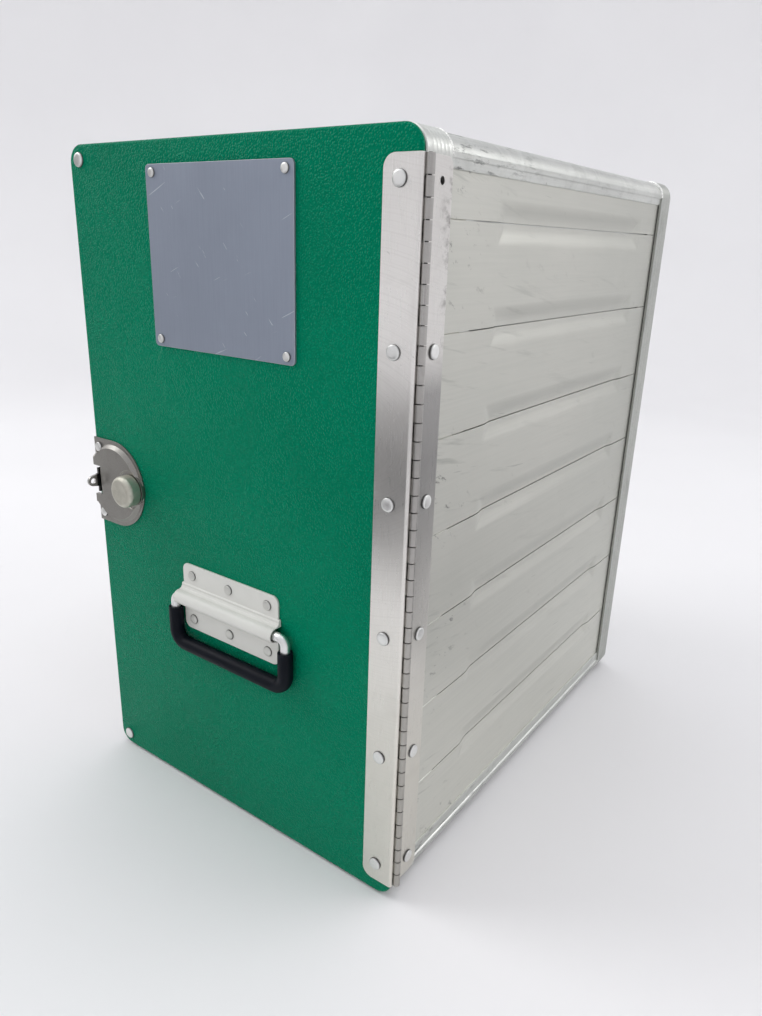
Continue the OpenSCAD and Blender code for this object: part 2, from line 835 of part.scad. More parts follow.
// Spindle, disc and pin that turn the knob's quarter turn into the bolt's travel
module latch_crank() {
    color([0.6, 0.6, 0.58])
    on_door()
        translate([knob_x, 0, 0]) {
            translate([0, 0, 1.5]) cylinder(r = 3, h = dish_h + 0.4 + 3 - 1.5);
            translate([0, 0, 0.4]) cylinder(r = crank_r + crank_pin_r + 1.1, h = 1.1);
            rotate(45) translate([crank_r, 0, -2.7]) cylinder(r = crank_pin_r, h = 4);
        }
}

// Flat bolt with a cross slot for the crank pin
module latch_bolt() {
    slot_x = knob_x + crank_r / sqrt(2);
    slot_half = crank_pin_r + 0.35;
    slot_z0 = crank_r / sqrt(2) - crank_pin_r - 0.4;
    slot_z1 = crank_r + crank_pin_r + 0.4;
    color([0.68, 0.67, 0.64])
    along_y(bolt_y0, bolt_y1)
        translate([0, latch_z])
            difference() {
                union() {
                    polygon([
                        [bolt_tip, -bolt_half + 1], [bolt_tip + 1, -bolt_half],
                        [bolt_end, -bolt_half], [bolt_end, bolt_half],
                        [bolt_tip + 1, bolt_half], [bolt_tip, bolt_half - 1]
                    ]);
                    translate([knob_x - 11, -bolt_wide])
                        square([bolt_end - knob_x + 11, 2 * bolt_wide]);
                }
                translate([slot_x - slot_half, slot_z0])
                    square([2 * slot_half, slot_z1 - slot_z0]);
            }
}

front_frame();
rear_frame();
top_left_rail();
top_right_rail();
bottom_left_rail();
bottom_right_rail();
left_side_panel();
right_side_panel();
top_panel();
bottom_panel();
rear_panel();
weld_beads();
left_runners();
right_runners();
striker();
hinge_body_leaf();
hinge_pin();
hinge_body_rivets();
door_panel();
door_inner_pan();
door_gasket();
hinge_door_leaf();
hinge_door_rivets();
card_plate();
card_plate_rivets();
door_corner_rivets();
handle_bracket();
handle_rivets();
handle_backing_plate();
latch_cover();
latch_rivets();
latch_housing();
handle_rod();
handle_grip();
latch_knob();
latch_crank();
latch_bolt();
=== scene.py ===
"""Looks of the galley container: an aluminium body with a hinged, pebbled green door."""

import json
import math
import random

import bmesh
import bpy
from mathutils import Matrix, Vector, noise

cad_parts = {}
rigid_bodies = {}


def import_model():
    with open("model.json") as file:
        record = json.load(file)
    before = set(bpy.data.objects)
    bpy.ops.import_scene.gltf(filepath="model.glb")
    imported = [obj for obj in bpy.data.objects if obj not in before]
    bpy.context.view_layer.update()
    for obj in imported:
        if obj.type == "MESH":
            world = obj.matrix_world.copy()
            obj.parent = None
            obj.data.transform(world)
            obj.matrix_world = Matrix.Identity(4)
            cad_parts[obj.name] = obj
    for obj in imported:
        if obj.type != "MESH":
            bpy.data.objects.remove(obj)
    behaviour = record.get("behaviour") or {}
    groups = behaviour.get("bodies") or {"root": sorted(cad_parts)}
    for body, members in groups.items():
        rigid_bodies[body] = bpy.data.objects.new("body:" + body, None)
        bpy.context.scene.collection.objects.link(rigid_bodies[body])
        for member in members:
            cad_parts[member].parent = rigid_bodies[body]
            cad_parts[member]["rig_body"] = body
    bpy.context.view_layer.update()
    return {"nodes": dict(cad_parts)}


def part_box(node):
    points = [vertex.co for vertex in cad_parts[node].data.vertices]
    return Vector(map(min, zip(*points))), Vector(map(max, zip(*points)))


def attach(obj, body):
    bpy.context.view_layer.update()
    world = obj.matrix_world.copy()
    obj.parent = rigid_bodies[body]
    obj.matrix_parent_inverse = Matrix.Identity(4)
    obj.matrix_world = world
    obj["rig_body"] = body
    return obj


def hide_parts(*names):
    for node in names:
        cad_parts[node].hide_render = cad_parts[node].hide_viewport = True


MM = 0.001
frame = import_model()
nodes = frame["nodes"]
scene = bpy.context.scene


def box_mm(node):
    """Lowest and highest corner of a CAD node in millimetres."""
    low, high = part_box(node)
    return low / MM, high / MM


# Camera ---------------------------------------------------------------------------------------

CAMERA_AT = Vector((0.3581, -0.5272, 0.4114))
CAMERA_YAW, CAMERA_PITCH, CAMERA_ROLL = (math.radians(a) for a in (35.42, 19.13, 1.88))
CAMERA_LENS = 27.22


def make_camera():
    sin_y, cos_y = math.sin(CAMERA_YAW), math.cos(CAMERA_YAW)
    sin_p, cos_p = math.sin(CAMERA_PITCH), math.cos(CAMERA_PITCH)
    sin_r, cos_r = math.sin(CAMERA_ROLL), math.cos(CAMERA_ROLL)
    forward = Vector((-sin_y * cos_p, cos_y * cos_p, -sin_p))
    level_right = Vector((cos_y, sin_y, 0))
    level_down = forward.cross(level_right)
    right = cos_r * level_right - sin_r * level_down
    up = -(sin_r * level_right + cos_r * level_down)
    camera = bpy.data.objects.new("camera", bpy.data.cameras.new("camera"))
    scene.collection.objects.link(camera)
    camera.matrix_world = Matrix(
        (
            (right.x, up.x, -forward.x, CAMERA_AT.x),
            (right.y, up.y, -forward.y, CAMERA_AT.y),
            (right.z, up.z, -forward.z, CAMERA_AT.z),
            (0, 0, 0, 1),
        )
    )
    camera.data.lens = CAMERA_LENS
    camera.data.sensor_width = 36
    camera.data.clip_start = 0.01
    scene.camera = camera


# Materials ------------------------------------------------------------------------------------


class Shader:
    """A material on object coordinates, in metres, with short calls for its nodes."""

    def __init__(self, name):
        self.material = bpy.data.materials.new(name)
        self.material.use_nodes = True
        self.tree = self.material.node_tree
        self.surface = self.tree.nodes["Principled BSDF"]
        self.place = self.add("ShaderNodeTexCoord").outputs["Object"]

    def add(self, kind, props=(), **inputs):
        made = self.tree.nodes.new(kind)
        for key, value in dict(props).items():
            setattr(made, key, value)
        for key, value in inputs.items():
            self.feed(made.inputs[key.replace("_", " ")], value)
        return made

    def feed(self, socket, value):
        if isinstance(value, bpy.types.NodeSocket):
            self.tree.links.new(value, socket)
        elif hasattr(value, "__len__") and len(value) == 3 and socket.type == "RGBA":
            socket.default_value = (*value, 1)
        else:
            socket.default_value = value

    def stretched(self, scale, turn=(0, 0, 0)):
        """Object coordinates turned first and stretched after, so that streaks can run aslant."""
        turned = self.add("ShaderNodeMapping", Vector=self.place, Rotation=turn)
        return self.add("ShaderNodeMapping", Vector=turned.outputs[0], Scale=scale).outputs[0]

    def noise(self, scale, detail=3.0, rough=0.5, where=None, distortion=0.0):
        made = self.add(
            "ShaderNodeTexNoise",
            Vector=where or self.place, Scale=scale, Detail=detail,
            Roughness=rough, Distortion=distortion,
        )
        return made.outputs["Fac"]

    def cells(self, scale, feature, smooth=0.0):
        props = {"feature": feature}
        made = self.add("ShaderNodeTexVoronoi", props, Vector=self.place, Scale=scale)
        if feature == "SMOOTH_F1":
            made.inputs["Smoothness"].default_value = smooth
        return made.outputs["Distance"]

    def range(self, value, low, high, to_low=0.0, to_high=1.0):
        made = self.add(
            "ShaderNodeMapRange", {"clamp": True},
            Value=value, From_Min=low, From_Max=high, To_Min=to_low, To_Max=to_high,
        )
        return made.outputs["Result"]

    def streaks(self, scale, turn=(0, 0, 0), detail=2, rough=0.5):
        """Noise drawn out into streaks: the scale is low along a streak and high across it."""
        return self.noise(1.0, detail, rough, self.stretched(scale, turn))

    def math(self, operation, a, b=0.0):
        made = self.add("ShaderNodeMath", {"operation": operation})
        for socket, value in zip(made.inputs, (a, b)):
            self.feed(socket, value)
        return made.outputs[0]

    def times(self, a, b):
        return self.math("MULTIPLY", a, b)

    def plus(self, a, b):
        return self.math("ADD", a, b)

    def distance(self, a, b):
        return self.math("SQRT", self.plus(self.times(a, a), self.times(b, b)))

    def attribute(self, name):
        """A value that the meshes carry at their points; 0 where a mesh has none."""
        return self.add("ShaderNodeAttribute", {"attribute_name": name}).outputs["Fac"]

    def mix(self, share, a, b):
        made = self.add("ShaderNodeMix", {"data_type": "RGBA"})
        colours = [s for s in made.inputs if s.type == "RGBA"]
        self.feed(made.inputs[0], share)
        self.feed(colours[0], a)
        self.feed(colours[1], b)
        return next(s for s in made.outputs if s.type == "RGBA")

    def axes(self):
        return self.add("ShaderNodeSeparateXYZ", Vector=self.place).outputs

    def bump(self, height, distance, strength=1.0, under=None):
        made = self.add("ShaderNodeBump", Height=height, Distance=distance, Strength=strength)
        if under is not None:
            self.feed(made.inputs["Normal"], under)
        return made.outputs["Normal"]

    def finish(self, colour, rough, metallic=0.0, normal=None, specular=0.5):
        names = self.surface.inputs
        self.feed(names["Base Color"], colour)
        self.feed(names["Roughness"], rough)
        names["Metallic"].default_value = metallic
        names["Specular IOR Level"].default_value = specular
        if normal is not None:
            self.feed(names["Normal"], normal)
        return self.material


# point attributes: wear marks bevelled edges; the grime attribute holds painted shade on the upper
# flanks of the side sheets' valleys, and grime with painted shade at rivet feet
WEAR, SHADE_AND_GRIME = "wear", "grime"
# stretches along the body, in metres, over which its marks thin out from the front to the back
SCUFFED, RUBBED, SCRAPED = (-0.165, -0.05), (-0.17, -0.02), (-0.17, -0.06)


def scaled(colour, share, lift=0.0):
    """A colour made darker or lighter, no channel above 1."""
    return tuple(min(1, c * share + lift) for c in colour)


def wear_mask(s):
    """1 on the bevelled edges of refined pieces, 0 elsewhere."""
    return s.attribute(WEAR)


def sheet_metal(name, colour, rough, streaks, streak_bump=0.004, grime=0.25, scratches=0.3,
                edge=1.12, scuffed_front=0.0):
    """Satin metal: a rolled or brushed grain along one way, cloudy tarnish and fine scratches.

    scuffed_front is the strength of the dark scuffs, which thin out from the front to the back.
    """
    s = Shader(name)
    grain = s.streaks(streaks, detail=4, rough=0.6)
    cloud = s.noise(14, 4, 0.55)
    patches = s.range(s.noise(38, 5, 0.65, distortion=0.6), 0.52, 0.74)
    long_marks = s.range(s.streaks((26, 420, 420), (0.3, 0.5, 0.9)), 0.70, 0.76)
    short_marks = s.range(s.streaks((520, 90, 520), (0.9, -0.4, 0.35)), 0.71, 0.77)
    marks = s.math("MAXIMUM", long_marks, short_marks)
    dark = scaled(colour, 0.55)
    tone = s.mix(s.range(cloud, 0.3, 0.7), scaled(colour, 0.93), scaled(colour, 1.05))
    tone = s.mix(s.times(patches, grime), tone, dark)
    tone = s.mix(s.times(s.range(grain, 0.35, 0.7), 0.16), tone, dark)
    tone = s.mix(s.times(marks, scratches), tone, dark)
    if scuffed_front:
        scuff = s.range(s.streaks((330, 60, 330), detail=5, rough=0.7), 0.54, 0.64)
        near = s.range(s.axes()[1], *SCUFFED, 1.0, 0.15)
        tone = s.mix(s.times(s.times(scuff, near), scuffed_front), tone, (0.05, 0.05, 0.05))
    tone = s.mix(s.times(wear_mask(s), 0.7), tone, scaled(colour, edge))
    gloss = s.range(grain, 0.3, 0.7, rough - 0.06, rough + 0.06)
    gloss = s.plus(gloss, s.range(patches, 0, 1, 0, 0.10))
    gloss = s.plus(gloss, s.times(marks, -0.08))
    normal = s.bump(grain, streak_bump * MM)
    normal = s.bump(marks, -0.03 * MM, 0.5, normal)
    return s.finish(tone, gloss, 1.0, normal)


def side_sheet(name):
    """Pale lacquered aluminium: rolled grain along the body, grey scuffs mostly near the front."""
    s = Shader(name)
    x, y, z = s.axes()
    grain = s.streaks((600, 14, 600), detail=4, rough=0.6)
    cloud = s.noise(9, 4, 0.55)
    tone = s.mix(s.range(cloud, 0.35, 0.68), (0.565, 0.565, 0.52), (0.61, 0.605, 0.56))
    # painted shade: the sheet is darker towards the back; painted light: it is lighter towards the
    # foot
    painted_shade_at_back = s.range(y, -0.08, 0.20, 0.0, 0.30)
    painted_light_at_foot = s.range(z, 0.02, 0.22, 0.85, 0.0)
    tone = s.mix(painted_shade_at_back, tone, (0.36, 0.37, 0.34))
    tone = s.mix(painted_light_at_foot, tone, (0.70, 0.70, 0.645))
    # painted shade on the upper flank of each valley
    fold_shade = s.attribute(SHADE_AND_GRIME)
    tone = s.mix(s.times(fold_shade, 0.18), tone, (0.28, 0.285, 0.265))
    tone = s.mix(s.times(s.range(grain, 0.4, 0.7), 0.10), tone, (0.33, 0.35, 0.32))
    rubs = s.range(s.streaks((90, 12, 150), (0.18, 0, 0), 4, 0.6), 0.60, 0.72)
    rubs = s.times(rubs, s.range(y, *RUBBED, 1.0, 0.25))
    tone = s.mix(s.times(rubs, 0.34), tone, (0.22, 0.23, 0.22))
    scrape = s.range(s.streaks((260, 70, 160), (0.5, 0, 0), 5, 0.7), 0.60, 0.68)
    scrape = s.times(scrape, s.range(s.noise(17, 2, 0.5), 0.50, 0.62))
    scrape = s.times(scrape, s.range(y, *SCRAPED, 1.0, 0.12))
    tone = s.mix(s.times(scrape, 0.75), tone, (0.06, 0.06, 0.06))
    thin = s.range(s.streaks((300, 16, 420), (0.10, 0, 0)), 0.74, 0.78)
    tone = s.mix(s.times(thin, 0.42), tone, (0.25, 0.26, 0.25))
    gloss = s.range(cloud, 0.3, 0.7, 0.46, 0.54)
    gloss = s.plus(gloss, s.times(rubs, 0.12))
    normal = s.bump(s.noise(22, 3, 0.5), 0.35 * MM, 0.35)
    normal = s.bump(grain, 0.004 * MM, 1, normal)
    normal = s.bump(thin, -0.02 * MM, 0.6, normal)
    return s.finish(tone, gloss, 1.0, normal)


def door_green(name):
    """Moulded skin with a fine pebble; it is a little rubbed and has a few faint scratches."""
    s = Shader(name)
    cell = s.cells(760, feature="SMOOTH_F1", smooth=0.3)
    uneven = s.noise(1100, 2, 0.5)
    pebble = s.plus(s.range(cell, 0.05, 0.65, 1.0, 0.0), s.times(uneven, 0.5))
    cloud = s.noise(6, 3, 0.5)
    tone = s.mix(s.range(cloud, 0.35, 0.65), (0.0, 0.196, 0.100), (0.0, 0.224, 0.116))
    # painted shade: darker in the hollows between the pebbles
    tone = s.mix(s.range(pebble, 0.35, 1.0, 0.30, 0.0), tone, (0.0, 0.085, 0.043))
    scuffs = s.range(s.streaks((60, 60, 14), (0, 0.35, 0), 3, 0.6), 0.66, 0.76)
    tone = s.mix(s.times(scuffs, 0.08), tone, (0.06, 0.33, 0.20))
    lines = s.range(s.streaks((330, 330, 9), (0, -0.5, 0)), 0.745, 0.78)
    tone = s.mix(s.times(lines, 0.25), tone, (0.12, 0.40, 0.27))
    gloss = s.range(s.noise(30, 3, 0.6), 0.3, 0.7, 0.24, 0.32)
    normal = s.bump(pebble, 0.38 * MM, 1.0)
    normal = s.bump(s.noise(7, 2, 0.5), 1.2 * MM, 0.12, normal)
    s.surface.inputs["Specular Tint"].default_value = (0.04, 1.0, 0.8, 1)
    return s.finish(tone, gloss, 0.0, normal, 0.07)


def hinge_steel(name):
    """Stainless leaf: faint polishing arcs, handling stains, scratches, dark joints at the pin.

    The leaf on the body's side is made darker than the one on the door, and both carry a
    painted reflection: a dark stripe at mid height, darkest on the body's leaf.
    """
    s = Shader(name)
    x, y, z = s.axes()
    arc_x, arc_z = 0.05, 0.31  # the point that the polishing arcs go round
    from_arc_x = s.plus(s.math("SUBTRACT", x, arc_x), s.times(y, 0.3))
    from_arc = s.distance(s.math("SUBTRACT", z, arc_z), from_arc_x)
    bent = s.plus(from_arc, s.times(s.noise(22, 2, 0.5), 0.006))
    arcs = s.add("ShaderNodeTexNoise", {"noise_dimensions": "1D"}, W=bent, Scale=900.0, Detail=3.0)
    arcs = arcs.outputs["Fac"]
    brushed = s.streaks((2600, 2600, 30), detail=4, rough=0.6)
    stain = s.range(s.noise(24, 5, 0.65, distortion=0.9), 0.50, 0.72)
    cloud = s.noise(11, 3, 0.5)
    tone = s.mix(s.range(cloud, 0.3, 0.7), (0.76, 0.74, 0.71), (0.84, 0.82, 0.79))
    tone = s.mix(s.times(stain, 0.22), tone, (0.40, 0.38, 0.35))
    tone = s.mix(s.times(s.range(arcs, 0.48, 0.66), 0.10), tone, (0.46, 0.44, 0.41))
    on_side = s.range(y, -0.1905, -0.1890)
    tone = s.mix(s.times(on_side, 0.32), tone, (0.42, 0.41, 0.39))
    # painted reflection: a dark stripe on the body's leaf at mid height
    side_painted_reflection_band = s.times(on_side, s.times(s.range(z, 0.22, 0.30), s.range(z, 0.355, 0.335)))
    tone = s.mix(s.times(side_painted_reflection_band, 0.62), tone, (0.14, 0.14, 0.14))
    # painted reflection: a dark stripe across both leaves at mid height
    painted_reflection_band = s.times(s.range(z, 0.21, 0.30), s.range(z, 0.345, 0.325))
    tone = s.mix(s.times(painted_reflection_band, 0.30), tone, (0.30, 0.29, 0.28))
    smudge = s.range(s.streaks((120, 60, 90), detail=4, rough=0.7), 0.50, 0.66)
    rear_edge = s.times(s.range(y, -0.182, -0.170), s.range(z, 0.33, 0.40))
    tone = s.mix(s.times(s.times(smudge, rear_edge), 0.75), tone, (0.10, 0.09, 0.08))
    nicks = s.range(s.streaks((700, 500, 160), (0.2, 0.9, 0)), 0.73, 0.79)
    tone = s.mix(s.times(nicks, 0.35), tone, (0.25, 0.24, 0.22))
    tone = s.mix(s.times(wear_mask(s), 0.6), tone, (0.84, 0.82, 0.79))
    low_down = s.range(z, 0.10, 0.27, 0.6, 0.0)
    tone = s.mix(low_down, tone, (0.70, 0.675, 0.59))
    pin_low, pin_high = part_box("hinge_pin")
    pin = (pin_low + pin_high) / 2
    off = s.distance(s.math("SUBTRACT", x, pin.x), s.math("SUBTRACT", y, pin.y))
    near_pin = s.range(off, 0.0025, 0.0036, 1.0, 0.0)
    tone = s.mix(s.times(near_pin, 0.62), tone, (0.20, 0.19, 0.18))
    tone = s.mix(s.times(near_pin, wear_mask(s)), tone, (0.03, 0.03, 0.03))
    gloss = s.plus(s.range(brushed, 0.3, 0.7, 0.27, 0.29), s.range(stain, 0, 1, 0, 0.08))
    normal = s.bump(arcs, 0.003 * MM, 0.4)
    normal = s.bump(s.noise(36, 2, 0.5), 0.25 * MM, 0.25, normal)
    return s.finish(tone, gloss, 1.0, normal)


def cast_metal(name, colour, rough, bump=0.02, grime=0.3, painted_shadow_from=None):
    """Small machined and cast parts: speckle, dull spots, and a painted shadow beyond y =
    painted_shadow_from.
    """
    s = Shader(name)
    speck = s.noise(900, 3, 0.6)
    dull = s.range(s.noise(160, 4, 0.6), 0.45, 0.7)
    tone = s.mix(s.times(dull, grime), colour, scaled(colour, 0.5))
    tone = s.mix(s.times(wear_mask(s), 0.5), tone, scaled(colour, 1.15))
    # painted shadow: near black beyond y = painted_shadow_from
    if painted_shadow_from is not None:
        dark = s.range(s.axes()[1], painted_shadow_from - 0.001, painted_shadow_from, 0.0, 0.9)
        tone = s.mix(dark, tone, (0.03, 0.03, 0.03))
    gloss = s.plus(s.range(speck, 0.3, 0.7, rough - 0.05, rough + 0.07), s.times(dull, 0.08))
    return s.finish(tone, gloss, 1.0, s.bump(speck, bump * MM, 0.5))


def rivet_metal(name, colour, rough):
    """Satin rivet head, dark at its foot with grime and painted shade, and a few dull spots."""
    s = Shader(name)
    dull = s.range(s.noise(260, 4, 0.6), 0.50, 0.75)
    tone = s.mix(s.times(dull, 0.22), colour, scaled(colour, 0.5))
    # grime and painted shade, darkest at the head's foot
    grime = s.attribute(SHADE_AND_GRIME)
    tone = s.mix(s.times(grime, 0.9), tone, (0.05, 0.05, 0.05))
    gloss = s.range(s.noise(600, 2, 0.5), 0.3, 0.7, rough - 0.03, rough + 0.03)
    gloss = s.plus(gloss, s.times(grime, 0.3))
    return s.finish(tone, gloss, 1.0, s.bump(s.noise(420, 2, 0.5), 0.02 * MM, 0.4))


def painted(name, colour, rough, mottled, bump, specular):
    """Powder-coated or rubbery surface with a faint orange-peel and rubbed spots."""
    s = Shader(name)
    peel = s.noise(520, 3, 0.5)
    cloud = s.noise(45, 4, 0.6)
    rubbed = s.range(s.noise(130, 4, 0.65), 0.60, 0.75)
    tone = s.mix(s.times(s.range(cloud, 0.35, 0.7), mottled), colour, scaled(colour, 0.6))
    tone = s.mix(s.times(rubbed, mottled), tone, scaled(colour, 1.35, 0.015))
    tone = s.mix(s.times(wear_mask(s), mottled * 2), tone, scaled(colour, 1.3, 0.03))
    gloss = s.range(cloud, 0.3, 0.7, rough - 0.05, rough + 0.06)
    return s.finish(tone, gloss, 0.0, s.bump(peel, bump * MM, 0.5), specular)


def card_metal(name):
    """Blue-grey anodised plate with a few long fine scratches and a rubbed rim."""
    s = Shader(name)
    grain = s.streaks((900, 900, 30), detail=3, rough=0.6)
    cloud = s.noise(16, 4, 0.55)
    tone = s.mix(s.range(cloud, 0.3, 0.7), (0.245, 0.275, 0.335), (0.272, 0.304, 0.368))
    tone = s.mix(s.times(s.range(grain, 0.4, 0.7), 0.12), tone, (0.15, 0.17, 0.22))
    scratch = s.range(s.streaks((26, 300, 700), (0, 0.42, 0)), 0.735, 0.760)
    other = s.range(s.streaks((60, 300, 620), (0, -0.85, 0)), 0.745, 0.770)
    both = s.math("MAXIMUM", scratch, other)
    tone = s.mix(s.times(both, 0.55), tone, (0.62, 0.64, 0.68))
    tone = s.mix(s.times(wear_mask(s), 0.8), tone, (0.62, 0.63, 0.66))
    gloss = s.range(cloud, 0.3, 0.7, 0.36, 0.45)
    normal = s.bump(grain, 0.004 * MM)
    return s.finish(tone, gloss, 0.35, s.bump(both, -0.02 * MM, 0.5, normal), 0.3)


def weld_metal(name):
    """Weld seam: bright ripples with dark cracks between them."""
    s = Shader(name)
    crack = s.range(s.cells(520, feature="DISTANCE_TO_EDGE"), 0.0, 0.12, 1.0, 0.0)
    speck = s.noise(700, 3, 0.6)
    tone = s.mix(s.times(crack, 0.55), (0.86, 0.86, 0.83), (0.20, 0.20, 0.19))
    tone = s.mix(s.range(speck, 0.4, 0.7, 0.0, 0.2), tone, (0.50, 0.50, 0.48))
    gloss = s.range(speck, 0.3, 0.7, 0.26, 0.42)
    normal = s.bump(speck, 0.05 * MM, 0.5, s.bump(crack, -0.10 * MM, 0.7))
    return s.finish(tone, gloss, 1.0, normal)


def floor_paint(name):
    """Pale studio floor with faint long scratches."""
    s = Shader(name)
    lines = s.range(s.streaks((3, 90, 90), (0, 0, 0.7)), 0.72, 0.76)
    cloud = s.range(s.noise(1.4, 3, 0.5), 0.35, 0.65)
    tone = s.mix(cloud, (0.765, 0.757, 0.762), (0.790, 0.782, 0.786))
    tone = s.mix(s.times(lines, 0.10), tone, (0.62, 0.63, 0.65))
    return s.finish(tone, 0.55, 0.0, None, 0.25)


ALONG_BODY = (520, 12, 520)
UPRIGHT = (900, 900, 14)
EVEN, FINE = (500, 500, 500), (900, 900, 900)
# behind this y the striker's plate gets a painted shadow
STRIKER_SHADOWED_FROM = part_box("door_panel")[0].y - 4.5 * MM
LOOKS = {
    "frame": sheet_metal(
        "frame_look", (0.60, 0.61, 0.58), 0.42, EVEN, streak_bump=0.01, grime=0.30
    ),
    # the frame's look made darker for the rear frame: painted shade
    "rear_frame": sheet_metal(
        "rear_frame_painted_shade_look", (0.46, 0.47, 0.44), 0.42, EVEN, streak_bump=0.01, grime=0.30
    ),
    "rail": sheet_metal(
        "rail_look", (0.62, 0.63, 0.60), 0.38, ALONG_BODY,
        grime=0.35, scratches=0.6, scuffed_front=0.75,
    ),
    "side": side_sheet("side_look"),
    "sheet": sheet_metal("sheet_look", (0.62, 0.64, 0.60), 0.42, ALONG_BODY, grime=0.18),
    "rear": sheet_metal("rear_look", (0.62, 0.64, 0.60), 0.42, UPRIGHT, grime=0.22),
    "weld": weld_metal("weld_look"),
    "runner": sheet_metal(
        "runner_look", (0.66, 0.67, 0.65), 0.36, ALONG_BODY, grime=0.35, scratches=0.5
    ),
    "hinge": hinge_steel("hinge_look"),
    "pin": cast_metal("pin_look", (0.10, 0.095, 0.09), 0.45),
    "striker": cast_metal("striker_look", (0.52, 0.51, 0.49), 0.36, painted_shadow_from=STRIKER_SHADOWED_FROM),
    "rivet": rivet_metal("rivet_look", (0.80, 0.80, 0.78), 0.34),
    "rivet_painted": rivet_metal("rivet_painted_look", (0.66, 0.66, 0.62), 0.45),
    "door": door_green("door_look"),
    "gasket": painted("gasket_look", (0.012, 0.012, 0.013), 0.62, 0.2, 0.03, 0.35),
    "card": card_metal("card_look"),
    "bracket": painted("bracket_look", (0.68, 0.68, 0.635), 0.42, 0.10, 0.02, 0.4),
    "rod": cast_metal("rod_look", (0.82, 0.82, 0.81), 0.34, 0.002, 0.06),
    "grip": painted("grip_look", (0.0025, 0.004, 0.008), 0.45, 0.05, 0.03, 0.12),
    "latch": sheet_metal(
        "latch_look", (0.33, 0.318, 0.295), 0.38, FINE, streak_bump=0.012, grime=0.3, edge=1.7
    ),
    "bolt": cast_metal("bolt_look", (0.56, 0.55, 0.53), 0.30),
    "knob": cast_metal("knob_look", (0.56, 0.545, 0.475), 0.50, 0.02, 0.2),
}


# Meshes ---------------------------------------------------------------------------------------


def bridge(bm, loops):
    """Faces between each loop of points and the next."""
    count = len(loops[0])
    for a, b in zip(loops, loops[1:]):
        for i in range(count):
            j = (i + 1) % count
            bm.faces.new((a[i], a[j], b[j], b[i]))


def place(name, bm, look, body, replaces, sharp):
    """Turns a bmesh in millimetres into a finished piece that rides on its CAD body."""
    bmesh.ops.recalc_face_normals(bm, faces=bm.faces)
    bmesh.ops.scale(bm, vec=(MM, MM, MM), verts=bm.verts)
    mesh = bpy.data.meshes.new(name)
    bm.to_mesh(mesh)
    bm.free()
    for polygon in mesh.polygons:
        polygon.use_smooth = True
    mesh.set_sharp_from_angle(angle=math.radians(sharp))
    mesh.materials.append(LOOKS[look])
    piece = bpy.data.objects.new(name, mesh)
    scene.collection.objects.link(piece)
    even = piece.modifiers.new("even_normals", "WEIGHTED_NORMAL")
    even.keep_sharp, even.weight = True, 100
    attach(piece, body)
    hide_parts(*replaces)
    return piece


def refined(node, look, bevel, segments=2):
    """The CAD node's own shape with its sharp edges rounded off."""
    sharp_angle, flat_angle = math.radians(28), math.radians(0.5)
    source = nodes[node]
    bm = bmesh.new()
    bm.from_mesh(source.data)
    bmesh.ops.scale(bm, vec=(1 / MM,) * 3, verts=bm.verts)
    bmesh.ops.remove_doubles(bm, verts=bm.verts, dist=0.002)
    bmesh.ops.dissolve_limit(bm, angle_limit=flat_angle, verts=bm.verts, edges=bm.edges)
    sharp = [e for e in bm.edges if len(e.link_faces) == 2 and e.calc_face_angle(0) > sharp_angle]
    made = bmesh.ops.bevel(
        bm, geom=sharp, offset=bevel, offset_type="OFFSET", segments=segments,
        profile=0.5, affect="EDGES", clamp_overlap=True,
    )
    layer = bm.verts.layers.float.new(WEAR)
    rounded = set(made["faces"])
    for vert in {v for f in rounded for v in f.verts}:
        if all(f in rounded for f in vert.link_faces):
            vert[layer] = 1.0
    return place(node + "_shown", bm, look, source["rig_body"], [node], 35)


def outline(width, height, radius, base, steps):
    """Points of an upright rectangle with round corners, in X and Z, centred on X = 0."""
    points = []
    for corner in range(4):
        cx = (width / 2 - radius) * (1, -1, -1, 1)[corner]
        cz = base + (height - radius if corner < 2 else radius)
        for i in range(steps + 1):
            a = math.radians(90 * (corner + i / steps))
            points.append((cx + radius * math.cos(a), cz + radius * math.sin(a)))
    return points


def ring_at(low, high, inset, y, radius, steps=12):
    """The round-cornered outline of a box, moved inwards by inset, as points at y."""
    width, height = high.x - low.x - 2 * inset, high.z - low.z - 2 * inset
    return [(x, y, z) for x, z in outline(width, height, radius, low.z + inset, steps)]


def loft(rings, closed=False):
    """A bmesh through rings of equal length; closed joins the last ring to the first."""
    bm = bmesh.new()
    loops = [[bm.verts.new(p) for p in ring] for ring in rings]
    if closed:
        bridge(bm, loops + loops[:1])
    else:
        bridge(bm, loops)
        bm.faces.new(loops[0])
        bm.faces.new(loops[-1])
    return bm


def block(x, y, z):
    """A box between two values on each axis."""
    bm = bmesh.new()
    bmesh.ops.create_cube(bm, size=1)
    for v in bm.verts:
        v.co = Vector((a + b) / 2 + c * (b - a) for c, (a, b) in zip(v.co, (x, y, z)))
    return bm


def cylinder(centre, axis, radius, half, steps=32):
    bm = bmesh.new()
    turn = Vector((0, 0, 1)).rotation_difference(Vector(axis)).to_matrix().to_4x4()
    bmesh.ops.create_cone(
        bm, cap_ends=True, segments=steps, radius1=radius, radius2=radius, depth=2 * half,
        matrix=Matrix.Translation(centre) @ turn,
    )
    return bm


